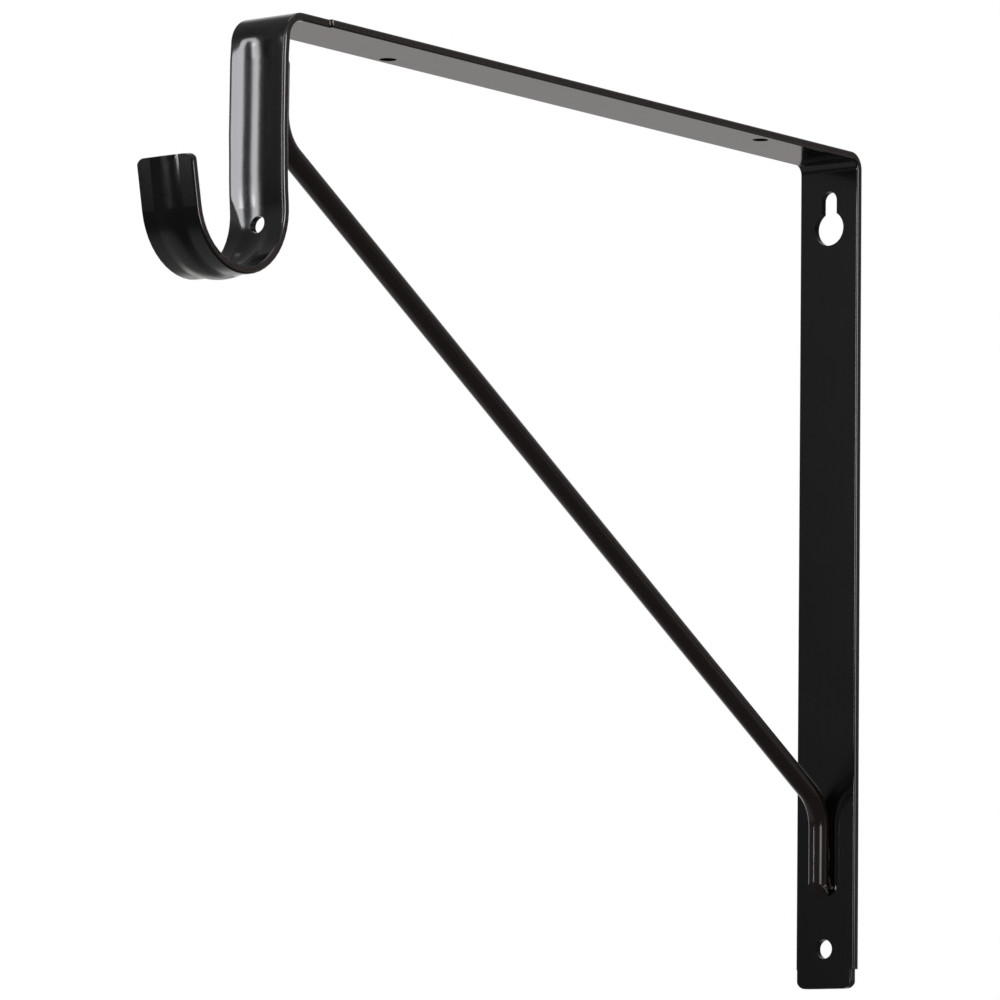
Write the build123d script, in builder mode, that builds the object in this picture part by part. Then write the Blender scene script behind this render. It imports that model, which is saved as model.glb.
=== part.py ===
from build123d import *
import math
import os

# Closet rod shelf bracket: one folded steel strip with a rod hook, and one welded round brace.
# Frame: X runs across the strip, -Y points into the room and +Z is up. The wall is the plane Y = 0,
# and the origin is the centre of the keyhole's round entry on that plane. Sizes are in millimetres.
# A drop is measured down from the shelf plane, a reach is measured out from the wall plane,
# and a shift is measured along X from the middle of the strip.

# Strip
strip_width = 22.3
strip_thickness = 2.4
edge_round = 0.7
wall_leg_drop = 264.0
arm_reach = 286.0
wall_bend_radius = 3.0
front_bend_radius = 5.8

# Trimmed ends of the strip
front_width = 20.4
front_trim_length = 20.0
foot_width = 21.1
foot_shift = -0.4
foot_length = 6.0
foot_corner_radius = 3.4

# Rod hook, with its radius on the inside and its tip measured up from its centre
hook_radius = 17.9
hook_drop = 57.5
hook_setback = 0.8
ease_radius = 120.0
tip_flare = 11.0
tip_rise = 11.0
tip_corner_radius = 3.0

# Pressed bead along the front leg and the hook, with margins that the press tilts on the leg
bead_margin = 5.0
bead_depth = 0.8
bead_crown_pull = 3.0
bead_foot_pull = 1.4
bead_runin = 5.0
margin_tilt = 4.0
tilt_runout = 8.0

# Keyhole and screw holes
keyhole_drop = 23.3
keyhole_diameter = 11.0
slot_width = 5.8
slot_rise = 8.9
wall_screw_diameter = 6.0
wall_screw_rise = 12.4
shelf_screw_diameter = 5.0
shelf_screw_stagger = 6.5
rear_screw_reach = 49.5
front_screw_setback = 67.0
rod_screw_diameter = 5.1
rod_screw_below = 3.1

# Brace: its foot is measured up from the strip's end, and its head down from the shelf plane
brace_diameter = 6.35
brace_bend_radius = 13.5
brace_foot_bend_rise = 57.6
brace_foot_end_rise = 30.8
brace_foot_shift = -0.7
brace_head_bend_drop = 35.9
brace_head_end_drop = 13.2
brace_head_shift = 2.9
brace_cut_angle = 35.0
weld_depth = 0.4

# Overshoot of cutting shapes past the faces that they cut
cut_past = 1.0

# Places that follow from the sizes above
shelf_z = keyhole_drop
wall_bend_outer = wall_bend_radius + strip_thickness
front_bend_outer = front_bend_radius + strip_thickness
front_trim_reach = arm_reach - front_trim_length
beaded_thickness = strip_thickness + bead_depth
bead_start_drop = front_bend_outer + bead_runin
ease_angle = math.degrees(math.acos(1 - hook_setback / (hook_radius + ease_radius)))
ease_drop = hook_drop - (hook_radius + ease_radius) * math.sin(math.radians(ease_angle))
tilt_end_drop = ease_drop - tilt_runout
hook_reach = arm_reach - hook_setback + hook_radius
hook_turn = 180 + ease_angle - tip_flare
seat_start_reach = hook_reach - hook_radius * math.cos(math.radians(ease_angle))
seat_start_drop = hook_drop - hook_radius * math.sin(math.radians(ease_angle))
tip_start_reach = hook_reach + hook_radius * math.cos(math.radians(tip_flare))
tip_start_drop = hook_drop + hook_radius * math.sin(math.radians(tip_flare))
tip_length = (tip_start_drop - hook_drop + tip_rise) / math.cos(math.radians(tip_flare))
wall_screw_drop = wall_leg_drop - wall_screw_rise
front_screw_reach = arm_reach - front_screw_setback
rod_screw_drop = hook_drop + rod_screw_below


def strip_plane(reach, drop, turn, shift=0.0):
    """Plane across the strip, on its wall, shelf and hook side.

    The strip is followed from its foot, up the wall, out along the arm and down to the hook.
    A turn of 0 heads up, 90 heads into the room and 180 heads down.
    """
    heading = (0, -math.sin(math.radians(turn)), math.cos(math.radians(turn)))
    return Plane(origin=(shift, -reach, shelf_z - drop), x_dir=(-1, 0, 0), z_dir=heading)


def bend_axis(reach, drop, direction):
    """Axis across the strip that a bend turns about."""
    return Axis((0, -reach, shelf_z - drop), (direction, 0, 0))


def flat_section(plane, width):
    """Plain section of the strip, with rounded edges."""
    with BuildSketch(plane) as section:
        with Locations((0, strip_thickness / 2)):
            RectangleRounded(width, strip_thickness, edge_round)
    return section.sketch


def beaded_section(plane, depth, tilt):
    """Section of the trimmed strip, with the bead pressed to a depth and the margins tilted by an angle."""
    half = front_width / 2
    foot = half - bead_margin
    slope = math.tan(math.radians(tilt))
    edge = -bead_margin * slope
    with BuildSketch(plane) as section:
        with BuildLine():
            for level in (0, strip_thickness):
                crown = level + depth
                foot_handle = (foot - bead_foot_pull, level + bead_foot_pull * slope)
                Bezier((0, crown), (bead_crown_pull, crown), foot_handle, (foot, level))
                Line((foot, level), (half, level + edge))
            Line((half, edge), (half, strip_thickness + edge))
            mirror(about=Plane.YZ)
        make_face()
        columns = section.vertices().group_by(Axis.X)
        fillet(columns[0] + columns[-1], radius=edge_round)
    return section.sketch


def corner_waste(plane, width, radius):
    """Waste outside the two rounded corners of an end on the plane's X axis, with the strip below it."""
    half = width / 2
    reach = radius + cut_past
    with BuildSketch(plane) as waste:
        with Locations((half - radius, -radius), (radius - half, -radius)):
            Rectangle(2 * reach, 2 * reach)
            Circle(radius, mode=Mode.SUBTRACT)
        with Locations((0, -radius)):
            Rectangle(width - 2 * radius, 2 * reach, mode=Mode.SUBTRACT)
            Rectangle(width + 2 * cut_past, reach, align=(Align.CENTER, Align.MAX), mode=Mode.SUBTRACT)
    return waste.sketch


# Folded strip: foot, wall leg, bend, arm, bend, front leg and hook
with BuildPart() as bracket_strip:
    foot_end = strip_plane(0, wall_leg_drop, 0, foot_shift)
    extrude(flat_section(foot_end, foot_width), amount=foot_length)
    wall_leg = flat_section(strip_plane(0, wall_leg_drop - foot_length, 0), strip_width)
    extrude(wall_leg, amount=wall_leg_drop - foot_length - wall_bend_outer)
    wall_bend = flat_section(strip_plane(0, wall_bend_outer, 0), strip_width)
    revolve(wall_bend, axis=bend_axis(wall_bend_outer, wall_bend_outer, 1), revolution_arc=90)
    arm = flat_section(strip_plane(wall_bend_outer, 0, 90), strip_width)
    extrude(arm, amount=front_trim_reach - wall_bend_outer)
    arm_front = flat_section(strip_plane(front_trim_reach, 0, 90), front_width)
    extrude(arm_front, amount=front_trim_length - front_bend_outer)
    front_bend = flat_section(strip_plane(arm_reach - front_bend_outer, 0, 90), front_width)
    revolve(front_bend, axis=bend_axis(arm_reach - front_bend_outer, front_bend_outer, 1), revolution_arc=90)

    # Front leg: the bead runs in below the bend, and its margins flatten out above the hook
    leg_top = beaded_section(strip_plane(arm_reach, front_bend_outer, 180), 0, 0)
    leg = beaded_section(strip_plane(arm_reach, bead_start_drop, 180), bead_depth, margin_tilt)
    loft([leg_top, leg], ruled=True)
    extrude(leg, amount=tilt_end_drop - bead_start_drop)
    leg_low = beaded_section(strip_plane(arm_reach, tilt_end_drop, 180), bead_depth, margin_tilt)
    ease = beaded_section(strip_plane(arm_reach, ease_drop, 180), bead_depth, 0)
    loft([leg_low, ease], ruled=True)

    # Hook: a short curve back, the round seat of the rod and the flared tip
    revolve(ease, axis=bend_axis(arm_reach - ease_radius, ease_drop, 1), revolution_arc=ease_angle)
    seat = beaded_section(strip_plane(seat_start_reach, seat_start_drop, 180 + ease_angle), bead_depth, 0)
    revolve(seat, axis=bend_axis(hook_reach, hook_drop, -1), revolution_arc=hook_turn)
    tip_plane = strip_plane(tip_start_reach, tip_start_drop, tip_flare)
    extrude(beaded_section(tip_plane, bead_depth, 0), amount=tip_length)

    # Rounded corners of the foot and of the hook's tip
    foot_face = Plane(origin=foot_end.origin, x_dir=foot_end.x_dir, z_dir=foot_end.y_dir)
    foot_corners = corner_waste(foot_face, foot_width, foot_corner_radius)
    extrude(foot_corners, amount=strip_thickness + cut_past, both=True, mode=Mode.SUBTRACT)
    tip_end = tip_plane.offset(tip_length)
    tip_face = Plane(origin=tip_end.origin, x_dir=tip_end.x_dir, z_dir=-tip_end.y_dir)
    tip_corners = corner_waste(tip_face, front_width, tip_corner_radius)
    extrude(tip_corners, amount=beaded_thickness + cut_past, both=True, mode=Mode.SUBTRACT)

    # Keyhole and wall screw hole
    with BuildSketch(Plane.XZ):
        Circle(keyhole_diameter / 2)
        with Locations((0, slot_rise / 2)):
            Rectangle(slot_width, slot_rise)
        with Locations((0, slot_rise)):
            Circle(slot_width / 2)
        with Locations((foot_shift, shelf_z - wall_screw_drop)):
            Circle(wall_screw_diameter / 2)
    extrude(amount=strip_thickness + cut_past, both=True, mode=Mode.SUBTRACT)

    # Staggered shelf screw holes
    with BuildSketch(Plane.XY.offset(shelf_z)):
        with Locations((shelf_screw_stagger, -rear_screw_reach), (-shelf_screw_stagger, -front_screw_reach)):
            Circle(shelf_screw_diameter / 2)
    extrude(amount=strip_thickness + cut_past, both=True, mode=Mode.SUBTRACT)

    # Screw hole that keeps the closet rod in the hook
    with BuildSketch(Plane.XZ.offset(arm_reach - beaded_thickness - hook_setback - cut_past)):
        with Locations((0, shelf_z - rod_screw_drop)):
            Circle(rod_screw_diameter / 2)
    extrude(amount=beaded_thickness + 2 * cut_past, mode=Mode.SUBTRACT)

# Brace: a bent round rod whose upright ends are pressed onto the strip and welded
brace_radius = brace_diameter / 2
weld_offset = brace_radius - weld_depth
brace_foot = Vector(brace_foot_shift, -(strip_thickness + weld_offset), shelf_z)
brace_head = Vector(brace_head_shift, -(arm_reach - beaded_thickness - weld_offset), shelf_z)
brace_span = brace_head - brace_foot
brace_plane = Plane(origin=brace_foot, x_dir=brace_span, z_dir=brace_span.cross(Vector(0, 0, 1)))
brace_foot_end = brace_foot_end_rise - wall_leg_drop
brace_head_end = -brace_head_end_drop
end_half = brace_radius + cut_past
end_slope = end_half * math.tan(math.radians(brace_cut_angle))

with BuildPart() as brace_rod:
    with BuildLine(brace_plane) as brace_path:
        FilletPolyline(
            (0, brace_foot_end - end_slope),
            (0, brace_foot_bend_rise - wall_leg_drop),
            (brace_span.length, -brace_head_bend_drop),
            (brace_span.length, brace_head_end + end_slope),
            radius=brace_bend_radius,
        )
    with BuildSketch(Plane(origin=brace_path.line @ 0, z_dir=brace_path.line % 0)):
        Circle(brace_radius)
    sweep()

    # Slanted sheared ends, longer on the side that is welded
    with BuildSketch(brace_plane):
        for along, up, beyond in ((0, brace_foot_end, -1), (brace_span.length, brace_head_end, 1)):
            far = up + 2 * beyond * (end_slope + cut_past)
            with BuildLine():
                Polyline(
                    (along - end_half, up - end_slope),
                    (along + end_half, up + end_slope),
                    (along + end_half, far),
                    (along - end_half, far),
                    close=True,
                )
            make_face()
    extrude(amount=end_half, both=True, mode=Mode.SUBTRACT)

    # Weld seats: the strip presses its own shape into the rod
    add(bracket_strip.part, mode=Mode.SUBTRACT)

bracket_strip.part.label = "bracket_strip"
brace_rod.part.label = "brace_rod"

os.makedirs("parts", exist_ok=True)
export_step(bracket_strip.part, "parts/bracket_strip.step")
export_step(brace_rod.part, "parts/brace_rod.step")
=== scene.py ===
"""Finishes, weld flash, shear burrs, studio and camera of the closet rod shelf bracket.

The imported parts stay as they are: one folded steel strip and one bent round brace, under black paint.
Lengths are metres in the frame of the parts: X across the strip, -Y into the room and +Z up.
"""

from __future__ import annotations

import logging
import math
from collections.abc import Sequence
from dataclasses import dataclass
from enum import Enum
from typing import Any

import bmesh
import bpy
from mathutils import Matrix, Vector

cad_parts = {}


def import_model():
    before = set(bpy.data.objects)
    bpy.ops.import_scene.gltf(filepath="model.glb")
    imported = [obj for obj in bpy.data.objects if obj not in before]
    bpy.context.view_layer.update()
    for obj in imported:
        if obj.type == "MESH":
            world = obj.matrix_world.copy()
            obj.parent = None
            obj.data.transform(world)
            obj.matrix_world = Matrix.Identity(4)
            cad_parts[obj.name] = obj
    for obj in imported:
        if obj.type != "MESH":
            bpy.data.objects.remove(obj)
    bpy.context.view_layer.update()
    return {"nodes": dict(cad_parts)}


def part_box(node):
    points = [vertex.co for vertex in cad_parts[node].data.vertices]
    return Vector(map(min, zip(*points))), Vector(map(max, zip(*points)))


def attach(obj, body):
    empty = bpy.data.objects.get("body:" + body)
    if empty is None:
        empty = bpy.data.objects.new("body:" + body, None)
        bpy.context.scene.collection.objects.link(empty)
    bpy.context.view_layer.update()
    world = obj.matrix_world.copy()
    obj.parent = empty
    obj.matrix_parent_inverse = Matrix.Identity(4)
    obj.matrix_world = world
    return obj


LOG = logging.getLogger("bracket")
MM = 0.001
NOISE_MIDDLE = 0.5

Pair = tuple[float, float]
Triple = tuple[float, float, float]


class Weld(Enum):
    """The two ends of the brace, by what they are welded to."""

    WALL_LEG = "foot"
    FRONT_LEG = "head"

    def toward_strip(self) -> float:
        """Direction along Y from the rod to the strip that it is welded to."""
        return 1.0 if self is Weld.WALL_LEG else -1.0

    def into_rod(self) -> float:
        """Direction along Z from the sheared end into the rod."""
        return 1.0 if self is Weld.WALL_LEG else -1.0


class Signal:
    """One output socket of a shader tree, with arithmetic that adds Math nodes."""

    def __init__(self, graph: Graph, socket: bpy.types.NodeSocket) -> None:
        """Keeps the graph that new nodes go to, and the socket."""
        self.graph = graph
        self.socket = socket

    def _math(self, operation: str, *terms: Any) -> Signal:
        """Adds one Math node on the given terms."""
        return self.graph.node("ShaderNodeMath", {"operation": operation}, dict(enumerate(terms)))

    def __add__(self, other: Any) -> Signal:
        """Sum of two values."""
        return self._math("ADD", self, other)

    __radd__ = __add__

    def __sub__(self, other: Any) -> Signal:
        """Difference of two values."""
        return self._math("SUBTRACT", self, other)

    def __rsub__(self, other: Any) -> Signal:
        """Difference of a number and this value."""
        return self._math("SUBTRACT", other, self)

    def __mul__(self, other: Any) -> Signal:
        """Product of two values."""
        return self._math("MULTIPLY", self, other)

    __rmul__ = __mul__

    def __abs__(self) -> Signal:
        """Size of the value without its sign."""
        return self._math("ABSOLUTE", self)

    def largest(self, other: Any) -> Signal:
        """Larger of two values."""
        return self._math("MAXIMUM", self, other)

    def smallest(self, other: Any) -> Signal:
        """Smaller of two values."""
        return self._math("MINIMUM", self, other)

    def sign(self) -> Signal:
        """1 for a positive value and -1 for a negative one."""
        return self._math("SIGN", self)

    def rising(self, low: float, high: float) -> Signal:
        """Smooth step from 0 at low to 1 at high."""
        sockets = {"Value": self, "From Min": low, "From Max": high}
        return self.graph.node("ShaderNodeMapRange", {"interpolation_type": "SMOOTHSTEP"}, sockets)

    def falling(self, low: float, high: float) -> Signal:
        """Smooth step from 1 at low to 0 at high."""
        return 1 - self.rising(low, high)

    def out(self, name: str) -> Signal:
        """Another output of the same node."""
        return Signal(self.graph, self.socket.node.outputs[name])


class Graph:
    """A shader tree that is written as expressions."""

    def __init__(self, tree: bpy.types.NodeTree) -> None:
        """Empties the tree."""
        self.tree = tree
        tree.nodes.clear()

    def node(
        self,
        kind: str,
        settings: dict[str, Any] | None = None,
        sockets: dict[str | int, Any] | None = None,
        output: str | int = 0,
    ) -> Signal:
        """Adds a node.

        Args:
            kind: Blender's name of the node's type.
            settings: Properties of the node, set before its sockets.
            sockets: Values of its inputs, or signals to link to them, by name or number.
            output: Name or number of the output to hand back.

        Returns:
            The chosen output as a signal.
        """
        made = self.tree.nodes.new(kind)
        for name, value in (settings or {}).items():
            setattr(made, name, value)
        for key, value in (sockets or {}).items():
            if isinstance(value, Signal):
                self.tree.links.new(value.socket, made.inputs[key])
            else:
                made.inputs[key].default_value = value
        return Signal(self, made.outputs[output] if made.outputs else made.inputs[0])

    def surface(self, sockets: dict[str | int, Any]) -> None:
        """Ends a material's tree with one principled shader."""
        shader = self.node("ShaderNodeBsdfPrincipled", None, sockets)
        self.node("ShaderNodeOutputMaterial", None, {"Surface": shader})

    def place(self) -> Signal:
        """Place vector on the surface, whose node also gives the normal of the solid."""
        return self.node("ShaderNodeTexCoord", None, None, "Object")

    def parts(self, vector: Signal) -> tuple[Signal, Signal, Signal]:
        """X, Y and Z of a vector."""
        split = self.node("ShaderNodeSeparateXYZ", None, {0: vector}, "X")
        return split, split.out("Y"), split.out("Z")

    def tint(self, factor: Any, under: Any, over: Any) -> Signal:
        """Lays a share of one colour over another."""
        sockets = {0: factor, 6: rgba(under), 7: rgba(over)}
        return self.node("ShaderNodeMix", {"data_type": "RGBA"}, sockets, output=2)

    def grey(self, level: Signal) -> Signal:
        """Grey of a level, as a colour."""
        return self.node("ShaderNodeCombineColor", None, {"Red": level, "Green": level, "Blue": level})

    def noise(self, place: Signal, scale: float, detail: float = 2.0) -> Signal:
        """Soft noise from 0 to 1, with cells of one over the scale."""
        return self.node("ShaderNodeTexNoise", None, {"Vector": place, "Scale": scale, "Detail": detail})

    def vector(self, operation: str, *terms: Any, output: str | int = 0) -> Signal:
        """Adds one Vector Math node on the given terms."""
        return self.node("ShaderNodeVectorMath", {"operation": operation}, dict(enumerate(terms)), output)

    def dot(self, vector: Signal, direction: Triple) -> Signal:
        """Part of a vector along a direction."""
        return self.vector("DOT_PRODUCT", vector, direction, output="Value")

    def distance(self, place: Signal, centre: Triple, reach: Triple) -> Signal:
        """Distance from the centre of an ellipsoid, as a share of its reach along X, Y and Z."""
        away = self.vector("MULTIPLY", self.vector("SUBTRACT", place, centre), tuple(1 / r for r in reach))
        return self.vector("LENGTH", away, output="Value")


def rgba(colour: Any) -> Any:
    """Colour of three parts with an alpha of 1, or a signal as it is."""
    return colour if isinstance(colour, Signal) else (*colour, 1.0)


def new_material(name: str) -> tuple[bpy.types.Material, Graph]:
    """Makes a material with an empty shader tree.

    Args:
        name: Name of the material.

    Returns:
        The material and its tree.
    """
    made = bpy.data.materials.new(name)
    made.use_nodes = True
    return made, Graph(made.node_tree)


def placed(name: str, data: bpy.types.ID) -> bpy.types.Object:
    """Puts a mesh, lamp or camera into the scene.

    Args:
        name: Name of the new object.
        data: What the object shows.

    Returns:
        The object, linked to the scene.
    """
    made = bpy.data.objects.new(name, data)
    bpy.context.scene.collection.objects.link(made)
    return made


def dress(piece: bpy.types.Object, material: bpy.types.Material) -> None:
    """Puts one material on the whole piece."""
    piece.data.materials.clear()
    piece.data.materials.append(material)


def banded_mesh(name: str, rings: Sequence[Sequence[Vector]]) -> bpy.types.Object:
    """Closed smooth mesh through a row of rings that have equally many points.

    Args:
        name: Name of the piece.
        rings: Rings from one end to the other.

    Returns:
        The new object, linked to the scene.
    """
    body = bmesh.new()
    rows = [[body.verts.new(point) for point in ring] for ring in rings]
    around = len(rows[0])
    for row, following in zip(rows, rows[1:]):
        for i in range(around):
            j = (i + 1) % around
            body.faces.new((row[i], row[j], following[j], following[i]))
    body.faces.new(rows[0])
    body.faces.new(rows[-1])
    bmesh.ops.recalc_face_normals(body, faces=body.faces)
    for face in body.faces:
        face.smooth = True
    mesh = bpy.data.meshes.new(name)
    body.to_mesh(mesh)
    body.free()
    return placed(name, mesh)


@dataclass(frozen=True)
class Chip:
    """A small ragged place where the paint is off and the steel shows."""

    centre: Triple
    reach: Triple
    rim: Pair = (0.7, 1.0)

    def moved(self, by: Vector) -> Chip:
        """The same chip at another place."""
        return Chip(tuple(Vector(self.centre) + by), self.reach, self.rim)

    def mask(self, graph: Graph, place: Signal, ragged: Signal) -> Signal:
        """1 inside the chip and 0 outside it, with a rim that the noise breaks up."""
        away = graph.distance(place, self.centre, self.reach)
        return (away + ragged - NOISE_MIDDLE).falling(*self.rim)


@dataclass(frozen=True)
class ShearedFaces:
    """Cut faces that look along one direction, either way, and lie far out across the piece."""

    looking: Triple
    across: Triple
    middle: float
    beyond: float
    blend: float = 0.2 * MM
    facing: Pair = (0.91, 0.985)

    def mask(self, graph: Graph, place: Signal) -> Signal:
        """Finds the cut faces.

        Args:
            graph: Tree of the material.
            place: Place vector on the surface.

        Returns:
            1 on the cut faces and 0 elsewhere.
        """
        facing = abs(graph.dot(place.out("Normal"), self.looking)).rising(*self.facing)
        outside = abs(graph.dot(place, self.across) - self.middle)
        return facing * outside.rising(self.beyond - self.blend, self.beyond + self.blend)


@dataclass(frozen=True)
class ShadedHoleWalls:
    """Walls of the holes in the wall leg, given a near-black metallic colour that paints shade into the
    holes.
    """

    # The near-black colour of the walls is painted shade inside the holes.
    scale: Triple = (0.0085, 0.0066, 0.0060)
    roughness: float = 0.3
    half_reach: float = 7.0 * MM
    face_y: float = -2.6 * MM
    top_z: float = 12.0 * MM
    blend: float = 0.2 * MM
    fronting: Pair = (0.3, 0.6)

    def mask(self, graph: Graph, place: Signal) -> Signal:
        """Finds the walls of the holes.

        Args:
            graph: Tree of the material.
            place: Place vector on the surface.

        Returns:
            1 on the walls and 0 elsewhere.
        """
        _, front, _ = graph.parts(place.out("Normal"))
        x, y, z = graph.parts(place)
        across = abs(x).falling(self.half_reach, self.half_reach + self.blend)
        inside = y.rising(self.face_y, self.face_y + self.blend)
        below = z.falling(self.top_z, self.top_z + self.blend)
        return abs(front).falling(*self.fronting) * across * inside * below


@dataclass(frozen=True)
class RoundedEdges:
    """Rounded upright edges of the strip, where the film is glossier, most of all on the front leg."""

    ior: float = 1.9
    roughness: float = 0.12
    beyond: Pair = (9.2 * MM, 9.4 * MM)
    turned: Pair = (0.1, 0.3)
    sideways: Pair = (0.93, 0.985)
    lying: Pair = (0.15, 0.45)
    foot_share: float = 0.2
    wall_gain: float = 0.27
    tip_share: float = 0.3
    wall_z: Pair = (-190.0 * MM, -30.0 * MM)
    front_y: Pair = (-200.0 * MM, -100.0 * MM)
    tip_y: Pair = (-312.0 * MM, -298.0 * MM)

    def mask(self, graph: Graph, place: Signal) -> Signal:
        """Finds the rounding between the flat faces and the cut sides.

        Args:
            graph: Tree of the material.
            place: Place vector on the surface.

        Returns:
            Up to 1 on the rounding, by the part of the strip, and 0 elsewhere.
        """
        side, _, up = graph.parts(place.out("Normal"))
        x, y, z = graph.parts(place)
        outside = abs(x).rising(*self.beyond)
        turned = abs(side).rising(*self.turned) * abs(side).falling(*self.sideways)
        upright = abs(up).falling(*self.lying)
        wall = self.foot_share + self.wall_gain * z.rising(*self.wall_z)
        share = wall + (1 - wall) * y.falling(*self.front_y)
        hook = self.tip_share + (1 - self.tip_share) * y.rising(*self.tip_y)
        return turned * outside * upright * share * hook


@dataclass(frozen=True)
class PressedLeg:
    """Face of the front leg as the press has left it: a soft groove between two margins that tilt forward.

    The tilt starts below the bend, later toward the edges, and ends above the rod's seat, first at the
    edges.
    """

    margin_slope: float = 0.07
    groove_slope: float = 0.13
    crown: Pair = (-0.6 * MM, 2.6 * MM)
    groove_x: float = 0.8 * MM
    flank: float = 4.4 * MM
    flank_reach: float = 3.7 * MM
    margin: float = 5.2 * MM
    tilt_top: Pair = (12.8 * MM, 16.5 * MM)
    top_slant: float = 0.5
    tilt_edge: Pair = (9.8 * MM, 10.8 * MM)
    low_z: float = -26.5 * MM
    low_slant: float = 0.45
    edge_x: Pair = (8.9 * MM, 9.4 * MM)
    far_x: Pair = (-10.1 * MM, -9.9 * MM)
    near_x: Pair = (9.5 * MM, 9.7 * MM)
    face_y: Pair = (-270.0 * MM, -260.0 * MM)
    tip_y: Pair = (-305.0 * MM, -300.0 * MM)
    top_z: Pair = (17.0 * MM, 20.0 * MM)
    end_z: Pair = (-42.0 * MM, -34.0 * MM)
    fronting: Pair = (-0.85, -0.65)

    def normal(self, graph: Graph, place: Signal) -> Signal:
        """Direction of the surface, with the slope of the groove and the margins on the leg's front face.

        Args:
            graph: Tree of the material.
            place: Place vector on the surface.

        Returns:
            The sloped normal on the leg's face, and the normal of the solid elsewhere.
        """
        side, front, up = graph.parts(place.out("Normal"))
        x, y, z = graph.parts(place)
        out = abs(x)
        across = x - self.groove_x
        begun = (z + self.top_slant * (out - self.margin)).falling(*self.tilt_top)
        kept = (-1 * x - self.low_slant * (z - self.low_z)).falling(*self.tilt_edge)
        tilted = begun * kept * out.falling(*self.edge_x)
        margin = self.margin_slope * abs(across).rising(*self.crown) * tilted
        groove = self.groove_slope * abs(abs(across) - self.flank).falling(0.0, self.flank_reach)
        slope = across.sign() * (margin + groove)
        on_leg = y.falling(*self.face_y) * y.rising(*self.tip_y)
        on_leg = on_leg * z.falling(*self.top_z) * z.rising(*self.end_z)
        on_face = x.rising(*self.far_x) * x.falling(*self.near_x) * front.falling(*self.fronting)
        sloped = {"X": side - on_leg * on_face * (slope + side), "Y": front, "Z": up}
        return graph.vector("NORMALIZE", graph.node("ShaderNodeCombineXYZ", None, sloped))


@dataclass(frozen=True)
class BlackPaint:
    """Semi-gloss black paint over steel that keeps a trace of the metal's surface.

    The film follows the rolling lines of the strip, which run along its length, so the grain is fine
    across X. Sheared faces take the paint thin, rough and brownish.
    """

    name: str
    film: Triple = (0.0013, 0.00125, 0.0013)
    thin_film: Triple = (0.0205, 0.0108, 0.0078)
    steel: Triple = (0.56, 0.54, 0.51)
    gloss_roughness: float = 0.145
    sheared_roughness: float = 0.42
    steel_roughness: float = 0.5
    uneven_gloss: float = 0.03
    cloud_share: float = 0.5
    cloud_gain: float = 1.5
    cloud_density: float = 55.0
    cloud_detail: float = 3.0
    peel_depth: float = 0.0022 * MM
    peel_density: float = 620.0
    peel_detail: float = 1.0
    rolling_depth: float = 0.0012 * MM
    rolling_density: Triple = (1500.0, 9.0, 9.0)
    shear_depth: float = 0.05 * MM
    shear_density: float = 2300.0
    shear_detail: float = 3.0
    speckle: Pair = (0.35, 0.7)
    chips: tuple[Chip, ...] = ()
    sheared: ShearedFaces | None = None
    edges: RoundedEdges | None = None
    holes: ShadedHoleWalls | None = None
    leg: PressedLeg | None = None

    def material(self) -> bpy.types.Material:
        """Builds the shader.

        Returns:
            The painted material.
        """
        made, graph = new_material(self.name)
        place = graph.place()
        cloud = graph.noise(place, self.cloud_density, self.cloud_detail)
        peel = graph.noise(place, self.peel_density, self.peel_detail)
        rolling = graph.noise(graph.vector("MULTIPLY", place, self.rolling_density), 1.0)
        torn = graph.noise(place, self.shear_density, self.shear_detail)

        cloudy = tuple(self.cloud_gain * part for part in self.film)
        colour = graph.tint(cloud * self.cloud_share, self.film, cloudy)
        roughness = self.gloss_roughness + self.uneven_gloss * (cloud + rolling - 2 * NOISE_MIDDLE)
        height = self.peel_depth * peel + self.rolling_depth * rolling
        shader: dict[str | int, Any] = {}
        if self.sheared is not None:
            cut = self.sheared.mask(graph, place)
            speckled = graph.tint(torn.rising(*self.speckle), self.thin_film, self.film)
            colour = graph.tint(cut, colour, speckled)
            roughness = roughness + cut * (self.sheared_roughness - self.gloss_roughness)
            height = height + self.shear_depth * cut * torn
        if self.edges is not None:
            shader["Coat Weight"] = self.edges.mask(graph, place)
            shader["Coat Roughness"] = self.edges.roughness
            shader["Coat IOR"] = self.edges.ior
        bare = self._bare(graph, place, torn)
        if bare is not None:
            colour = graph.tint(bare, colour, self.steel)
            roughness = roughness + bare * (self.steel_roughness - self.gloss_roughness)
            shader["Metallic"] = bare
        # The hole walls turn near-black and metallic: painted shade inside the holes.
        if self.holes is not None:
            walls = self.holes.mask(graph, place)
            colour = graph.tint(walls, colour, self.holes.scale)
            roughness = roughness + walls * (self.holes.roughness - self.gloss_roughness)
            shader["Metallic"] = walls if bare is None else walls.largest(bare)
        relief: dict[str | int, Any] = {"Strength": 1.0, "Distance": 1.0, "Height": height}
        if self.leg is not None:
            relief["Normal"] = self.leg.normal(graph, place)
        shader["Base Color"] = colour
        shader["Roughness"] = roughness
        shader["Normal"] = graph.node("ShaderNodeBump", None, relief)
        graph.surface(shader)
        return made

    def _bare(self, graph: Graph, place: Signal, ragged: Signal) -> Signal | None:
        """Mask of all chips in the paint.

        Args:
            graph: Tree of the material.
            place: Place vector on the surface.
            ragged: Noise that breaks up the rims.

        Returns:
            The mask, or nothing where the paint is whole.
        """
        bare = None
        for chip in self.chips:
            mask = chip.mask(graph, place, ragged)
            bare = mask if bare is None else bare.largest(mask)
        return bare


@dataclass(frozen=True)
class FloorPatch:
    """An oval part of the floor that fades out toward its rim."""

    centre: Triple
    reach: Triple
    share: float = 1.0
    fade: Pair = (0.55, 1.0)

    def cover(self, graph: Graph, place: Signal) -> Signal:
        """Opacity of the floor by place."""
        return self.share * graph.distance(place, self.centre, self.reach).falling(*self.fade)


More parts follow.
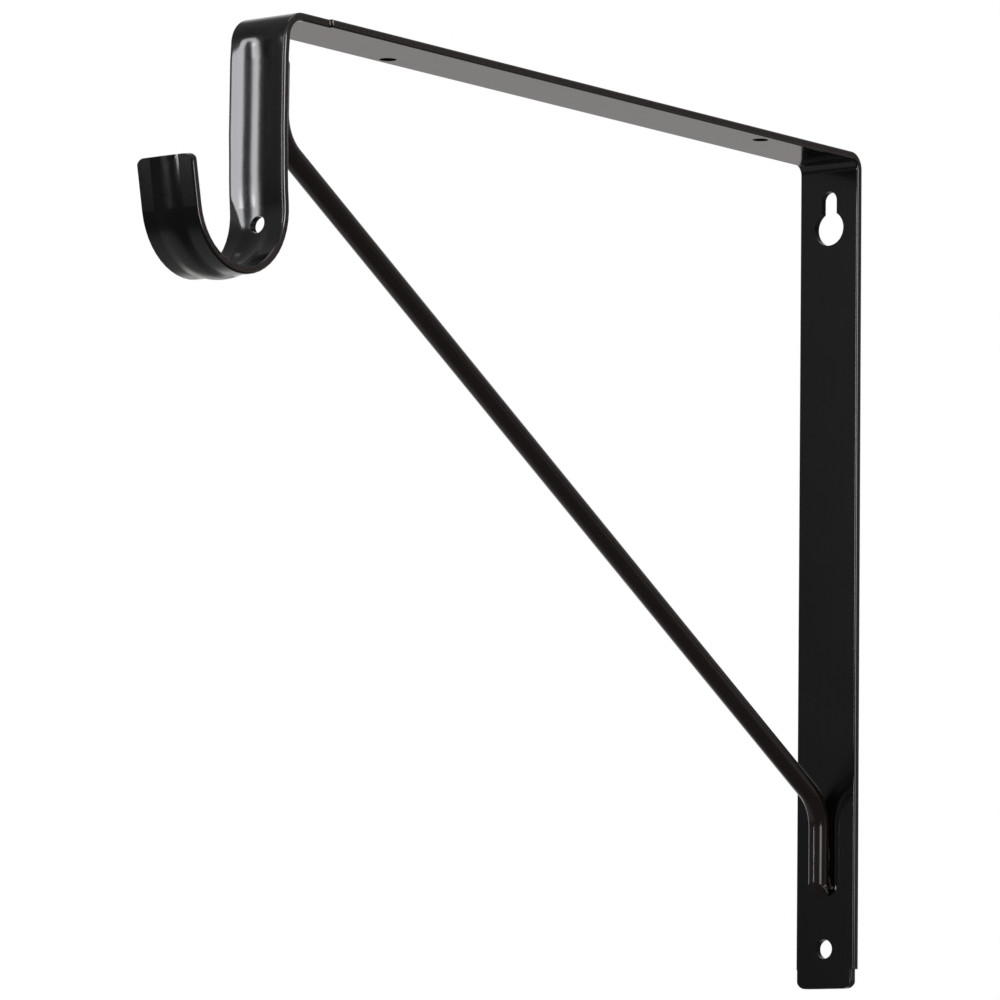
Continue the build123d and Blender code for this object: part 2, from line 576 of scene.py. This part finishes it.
@dataclass(frozen=True)
class PaleFloor:
    """Matt pale studio floor; the gloss of the part mirrors only some patches of it."""

    seen: FloorPatch
    mirrored: tuple[FloorPatch, FloorPatch]
    name: str = "studio_floor"
    colour: Triple = (0.87, 0.83, 0.805)
    roughness: float = 0.9
    cloud_share: float = 0.15
    cloud_gain: float = 0.9
    cloud_density: float = 1.5

    def material(self) -> bpy.types.Material:
        """Builds the shader with a faint unevenness.

        Returns:
            The material of the floor.
        """
        made, graph = new_material(self.name)
        place = graph.place()
        cloud = graph.noise(place, self.cloud_density)
        cloudy = tuple(self.cloud_gain * part for part in self.colour)
        glossy = graph.node("ShaderNodeLightPath", None, None, "Is Glossy Ray")
        seen = self.seen.cover(graph, place)
        behind, ahead = (patch.cover(graph, place) for patch in self.mirrored)
        graph.surface({
            "Base Color": graph.tint(cloud * self.cloud_share, self.colour, cloudy),
            "Roughness": self.roughness,
            "Alpha": seen + glossy * (behind.largest(ahead) - seen),
        })
        return made


@dataclass
class FoldedStrip:
    """The folded strip with its wall leg, arm, front leg and rod hook."""

    node: bpy.types.Object
    half_width: float = 11.15 * MM
    front_half_width: float = 10.2 * MM
    step_y: float = -266.0 * MM
    step_z: float = 22.3 * MM
    step_chip: Triple = (0.45 * MM, 0.3 * MM, 0.9 * MM)
    side_beyond: float = 9.6 * MM
    leg_y: float = -2.4 * MM
    weld_z: float = -209.2 * MM
    edge_nick_z: float = -199.5 * MM

    def chips(self) -> tuple[Chip, ...]:
        """Bare spots on the wall leg's near edge, at the corners of the trimming step and at the weld.

        Returns:
            The spots, in the frame of the part.
        """
        return (
            Chip((self.half_width, 0.0, self.edge_nick_z), (0.8 * MM, 0.8 * MM, 0.9 * MM)),
            Chip((self.front_half_width, self.step_y - 0.3 * MM, self.step_z), self.step_chip),
            Chip((self.half_width, self.step_y, self.step_z), self.step_chip),
            Chip((2.3 * MM, self.leg_y, self.weld_z), (0.75 * MM, 0.5 * MM, 0.4 * MM)),
            Chip((3.9 * MM, self.leg_y, self.weld_z), (0.28 * MM, 0.5 * MM, 0.9 * MM)),
        )

    def dress(self) -> None:
        """Paints the strip."""
        paint = BlackPaint(
            "strip_black_paint",
            chips=self.chips(),
            sheared=ShearedFaces((1.0, 0.0, 0.0), (1.0, 0.0, 0.0), 0.0, self.side_beyond),
            edges=RoundedEdges(),
            holes=ShadedHoleWalls(),
            leg=PressedLeg(),
        )
        dress(self.node, paint.material())


@dataclass(frozen=True)
class Waviness:
    """Ragged height along an edge: a level with a long and a short wave."""

    level: float
    long_wave: Pair
    short_wave: Pair
    short_start: float = 0.0

    def at(self, turn: float, start: float = 0.0) -> float:
        """Height at a place along the edge.

        Args:
            turn: Place along the edge.
            start: Angle at which the long wave starts.

        Returns:
            The height as a share.
        """
        long_height, long_turns = self.long_wave
        short_height, short_turns = self.short_wave
        long_part = long_height * math.sin(long_turns * turn + start)
        return self.level + long_part + short_height * math.sin(short_turns * turn + self.short_start)


@dataclass
class BentBrace:
    """The bent round brace with the flash of its welds and the burrs of its sheared ends.

    The places of the chips are counted from the middle of the lower end.
    """

    node: bpy.types.Object
    strip: bpy.types.Object
    radius: float = 3.175 * MM
    weld_depth: float = 0.4 * MM
    cut_angle: float = math.radians(35.0)
    end_margin: float = 0.3 * MM

    flash_start: float = 1.2 * MM
    flash_length: float = 15.0 * MM
    flash_width: float = 0.7 * MM
    flash_least: float = 0.02 * MM
    flash_root: float = 0.25 * MM
    flash_climb: float = 0.35
    flash_belly: float = 0.08
    flash_taper: float = 4.0
    flash_swell: Waviness = Waviness(0.75, (0.25, 9.0), (0.12, 31.0))
    flash_side_start: float = 1.7
    flash_rings: int = 40
    lip_width: float = 1.3 * MM
    lip_share: float = 0.2
    root_sink: float = 0.15 * MM
    rim_sink: float = 0.05 * MM

    burr_height: float = 0.45 * MM
    burr_least: float = 0.01 * MM
    burr_sink: float = 0.06 * MM
    burr_from: float = -70.0
    burr_sweep: float = 130.0
    burr_ragged: Waviness = Waviness(0.55, (0.3, 7.0), (0.25, 19.0), 1.0)
    burr_least_share: float = 0.05
    burr_rim: float = 0.99
    burr_inner: float = 0.84
    burr_tip: float = 0.965
    burr_rings: int = 48

    side_chip: Chip = Chip((3.1 * MM, -0.6 * MM, 1.2 * MM), (0.5 * MM, 0.5 * MM, 0.35 * MM))
    rim_chip: Chip = Chip((4.3 * MM, 2.6 * MM, 1.0 * MM), (0.45 * MM, 0.6 * MM, 1.0 * MM))
    spur_chip: Chip = Chip((2.8 * MM, 1.8 * MM, 0.6 * MM), (0.7 * MM, 0.8 * MM, 0.45 * MM))
    burr_chip: Triple = (1.6 * MM, 2.4 * MM, 1.6 * MM)

    def axis(self, weld: Weld) -> Vector:
        """Finds a sheared end.

        Args:
            weld: End of the brace.

        Returns:
            Middle of the end, on the axis of the rod.
        """
        low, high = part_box(self.node.name)
        slope = math.tan(self.cut_angle)
        if weld is Weld.WALL_LEG:
            offset = self.radius - self.weld_depth
            return Vector((low.x + self.radius, high.y - offset, low.z + slope * offset))
        return Vector((high.x - self.radius, low.y + self.radius, high.z - slope * self.radius))

    def seat(self, x: float, z: float, weld: Weld) -> float:
        """Y of the strip's face beside the rod.

        Args:
            x: Place across the strip.
            z: Height.
            weld: End of the brace.

        Returns:
            Y where a line from the rod meets the strip.
        """
        middle = self.axis(weld)
        way = Vector((0.0, weld.toward_strip(), 0.0))
        hit, point, _, _ = self.strip.ray_cast(Vector((x, middle.y, z)), way)
        return point.y if hit else middle.y + way.y * (self.radius - self.weld_depth)

    def flash(self, weld: Weld, side: int) -> bpy.types.Object:
        """Thin ridge of squeezed-out steel in the corner between the rod and the strip.

        Args:
            weld: End of the brace.
            side: 1 for the side of +X and -1 for the other one.

        Returns:
            The ridge as a closed piece.
        """
        middle = self.axis(weld)
        way = weld.toward_strip()
        lip = self.lip_width if weld is Weld.WALL_LEG and side > 0 else 0.0
        start = middle.z + weld.into_rod() * (self.flash_start - lip)
        land = math.sqrt(self.radius**2 - (self.radius - self.weld_depth) ** 2)
        root = middle.x + side * (land - self.flash_root)
        rings = []
        for i in range(self.flash_rings):
            share = i / (self.flash_rings - 1)
            z = start + weld.into_rod() * self.flash_length * share
            swell = self.flash_swell.at(share, self.flash_side_start * side)
            bulge = lip * math.exp(-((share / self.lip_share) ** 2))
            taper = math.sin(math.pi * min(0.5, self.flash_taper * share, self.flash_taper * (1 - share)))
            width = (self.flash_width * swell + bulge) * taper + self.flash_least
            outer = middle.x + side * (land + width)
            up = middle.x + side * (land + self.flash_climb * width)
            on_rod = middle.y + way * math.sqrt(max(self.radius**2 - (up - middle.x) ** 2, 0.0))
            foot = self.seat(outer, z, weld)
            belly = self.flash_belly * width
            rings.append((
                Vector((root, self.seat(root, z, weld) + way * self.root_sink, z)),
                Vector((outer, foot + way * self.rim_sink, z)),
                Vector(((outer + up) / 2 + side * belly, (foot + on_rod) / 2 - way * belly, z)),
                Vector((up, on_rod + way * self.rim_sink, z)),
            ))
        return banded_mesh(f"weld_flash_{weld.value}_{'near' if side > 0 else 'far'}", rings)

    def burr(self, weld: Weld) -> bpy.types.Object:
        """Ragged lip that the shear has left along the rim of a cut end.

        Args:
            weld: End of the brace.

        Returns:
            The lip as a closed piece.
        """
        middle = self.axis(weld)
        way = weld.toward_strip()
        down = -weld.into_rod()
        slope = math.tan(self.cut_angle)
        outward = Vector((0.0, -way * math.sin(self.cut_angle), down * math.cos(self.cut_angle)))
        sunk = outward * self.burr_sink
        rings = []
        for i in range(self.burr_rings):
            share = i / (self.burr_rings - 1)
            angle = math.radians(self.burr_from + self.burr_sweep * share)
            along = math.sin(angle)
            spoke = Vector((math.cos(angle), way * along, down * slope * along)) * self.radius
            ragged = max(self.burr_least_share, self.burr_ragged.at(angle))
            height = self.burr_height * ragged * math.sin(math.pi * share) + self.burr_least
            rings.append((
                middle + spoke * self.burr_rim - sunk,
                middle + spoke * self.burr_inner - sunk,
                middle + spoke * self.burr_tip + outward * height,
            ))
        return banded_mesh(f"shear_burr_{weld.value}", rings)

    def paint(self) -> None:
        """Paints the rod, with brown sheared ends."""
        foot, head = (self.axis(weld).z for weld in Weld)
        looking = (0.0, math.sin(self.cut_angle), math.cos(self.cut_angle))
        beyond = (head - foot) / 2 - self.radius * math.tan(self.cut_angle) - self.end_margin
        paint = BlackPaint(
            "brace_black_paint",
            film=(0.0060, 0.0038, 0.0031),
            thin_film=(0.0100, 0.0050, 0.0034),
            gloss_roughness=0.17,
            shear_density=1100.0,
            chips=(self.side_chip.moved(self.axis(Weld.WALL_LEG)),),
            sheared=ShearedFaces(looking, (0.0, 0.0, 1.0), (foot + head) / 2, beyond),
        )
        dress(self.node, paint.material())

    def ends(self) -> list[bpy.types.Object]:
        """Adds the painted flash and burrs of the two ends.

        Returns:
            The added pieces, which ride on the part.
        """
        low = self.axis(Weld.WALL_LEG)
        flash_paint = BlackPaint(
            "flash_black_paint",
            gloss_roughness=0.3,
            peel_depth=0.03 * MM,
            peel_density=900.0,
            chips=(self.rim_chip.moved(low), self.spur_chip.moved(low)),
        ).material()
        pieces = []
        for weld in Weld:
            end = self.axis(weld)
            glint = Chip((end.x + self.radius, end.y, end.z), self.burr_chip)
            burr_paint = BlackPaint(f"burr_worn_paint_{weld.value}", gloss_roughness=0.3, chips=(glint,))
            burr = self.burr(weld)
            dress(burr, burr_paint.material())
            ridges = [self.flash(weld, side) for side in (1, -1)]
            for ridge in ridges:
                dress(ridge, flash_paint)
            pieces += [burr, *ridges]
        for piece in pieces:
            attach(piece, "root")
        return pieces


@dataclass(frozen=True)
class SoftPanel:
    """A rectangular soft light."""

    name: str
    place: Triple
    aim: Triple
    width: float
    height: float
    radiance: float
    tint: Triple = (1.0, 1.0, 1.0)

    def build(self) -> None:
        """Hangs the panel, upright and turned to its aim."""
        lamp = bpy.data.lights.new(self.name, "AREA")
        lamp.shape = "RECTANGLE"
        lamp.size = self.width
        lamp.size_y = self.height
        lamp.color = self.tint
        lamp.energy = self.radiance * math.pi * self.width * self.height
        turn = (Vector(self.aim) - Vector(self.place)).to_track_quat("-Z", "Y")
        placed(self.name, lamp).matrix_world = Matrix.LocRotScale(Vector(self.place), turn, None)


@dataclass(frozen=True)
class ViewCamera:
    """Camera of the photograph, fitted to the outline of the part."""

    place: Triple = (1.12782, -1.63343, -0.32351)
    yaw: float = math.radians(37.650)
    pitch: float = math.radians(6.783)
    roll: float = math.radians(0.6726)
    focal_pixels: float = 6319.3
    image_pixels: float = 1000.0
    sensor: float = 36.0
    clip_end: float = 100.0

    def ahead(self) -> Vector:
        """Direction of the view."""
        level = Vector((-math.sin(self.yaw), math.cos(self.yaw), 0.0))
        return math.cos(self.pitch) * level + math.sin(self.pitch) * Vector((0.0, 0.0, 1.0))

    def build(self) -> None:
        """Makes the camera and looks through it."""
        ahead = self.ahead()
        side = ahead.cross(Vector((0.0, 0.0, 1.0))).normalized()
        above = side.cross(ahead)
        right = math.cos(self.roll) * side + math.sin(self.roll) * above
        upward = math.cos(self.roll) * above - math.sin(self.roll) * side
        data = bpy.data.cameras.new("photo_camera")
        data.sensor_width = self.sensor
        data.lens = self.focal_pixels * self.sensor / self.image_pixels
        data.clip_end = self.clip_end
        made = placed("photo_camera", data)
        turn = Matrix((right, upward, -ahead)).transposed()
        made.matrix_world = Matrix.LocRotScale(Vector(self.place), turn.to_quaternion(), None)
        bpy.context.scene.camera = made


@dataclass
class Studio:
    """White backdrop, pale floor and soft light round the part."""

    camera: ViewCamera
    floor_z: float = -0.36
    floor_half: float = 9.0
    room: float = 0.085
    room_above: float = 0.82
    room_most: float = 0.28
    daylight: float = 0.62
    white: Triple = (1.0, 1.0, 1.0)
    backdrop_full: float = math.radians(22.0)
    backdrop_end: float = math.radians(48.0)
    panels: tuple[SoftPanel, ...] = (
        SoftPanel(
            "left_panel",
            place=(-0.223, -0.676, 0.0705),
            aim=(-0.223, 0.0, 0.0705),
            width=0.135,
            height=0.259,
            radiance=11.0,
            tint=(0.95, 0.96, 1.0),
        ),
        SoftPanel(
            "low_strip",
            place=(-1.27, -3.0, 0.005),
            aim=(-1.27, 0.0, 0.005),
            width=0.5,
            height=0.10,
            radiance=19.0,
        ),
        SoftPanel(
            "right_panel",
            place=(0.58, -0.36, 0.0),
            aim=(0.0, -0.1, -0.05),
            width=0.24,
            height=0.40,
            radiance=5.0,
            tint=(1.0, 0.98, 0.96),
        ),
        SoftPanel(
            "top_panel",
            place=(0.1, -0.2, 1.5),
            aim=(0.0, -0.16, 0.0),
            width=1.2,
            height=1.2,
            radiance=1.6,
        ),
    )

    def backdrop(self) -> None:
        """White for the eye; reflections see it behind the part, and a dim room on the camera's side."""
        world = bpy.data.worlds.new("studio_world")
        bpy.context.scene.world = world
        world.use_nodes = True
        graph = Graph(world.node_tree)
        ray = graph.node("ShaderNodeLightPath", None, None, "Is Camera Ray")
        mirrored = ray.out("Is Glossy Ray").largest(ray.out("Is Transmission Ray"))
        direction = graph.node("ShaderNodeTexCoord", None, None, "Generated")
        toward = graph.dot(direction, tuple(self.camera.ahead()))
        lit = toward.rising(math.cos(self.backdrop_end), math.cos(self.backdrop_full))
        _, _, height = graph.parts(direction)
        dim = (self.room + self.room_above * height.largest(0.0)).smallest(self.room_most)
        reflected = graph.tint(lit, graph.grey(dim), self.white)
        colour = graph.tint(mirrored, (self.daylight,) * 3, reflected)
        colour = graph.tint(ray, colour, self.white)
        light = graph.node("ShaderNodeBackground", None, {"Color": colour, "Strength": 1.0})
        graph.node("ShaderNodeOutputWorld", None, {"Surface": light})

    def floor(self) -> None:
        """Lays the floor below the camera, as part of the stage."""
        half, z = self.floor_half, self.floor_z
        mesh = bpy.data.meshes.new("studio_floor")
        rim = [(-half, -half, z), (half, -half, z), (half, half, z), (-half, half, z)]
        mesh.from_pydata(rim, [], [(0, 1, 2, 3)])
        made = placed("studio_floor", mesh)
        seen = FloorPatch((0.0, 0.6, z), (3.5, 2.6, 1.0))
        behind = FloorPatch((-0.4, 2.6, z), (3.5, 2.6, 1.0))
        ahead = FloorPatch((-0.48, -0.22, z), (0.5, 0.52, 1.0), share=0.33)
        dress(made, PaleFloor(seen, (behind, ahead)).material())

    def build(self) -> None:
        """Sets up the backdrop, the floor, the panels and the camera."""
        self.backdrop()
        self.floor()
        for panel in self.panels:
            panel.build()
        self.camera.build()
        bpy.context.scene.view_settings.view_transform = "Standard"


def main() -> None:
    """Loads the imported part, dresses it and sets up the studio."""
    logging.basicConfig(level=logging.INFO, format="%(name)s: %(message)s")
    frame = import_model()
    nodes = frame["nodes"]
    FoldedStrip(nodes["bracket_strip"]).dress()
    LOG.info("painted bracket_strip")
    brace = BentBrace(nodes["brace_rod"], nodes["bracket_strip"])
    brace.paint()
    LOG.info("painted brace_rod")
    for piece in brace.ends():
        LOG.info("added %s", piece.name)
    Studio(ViewCamera()).build()
    LOG.info("built the studio")


if __name__ == "__main__":
    main()
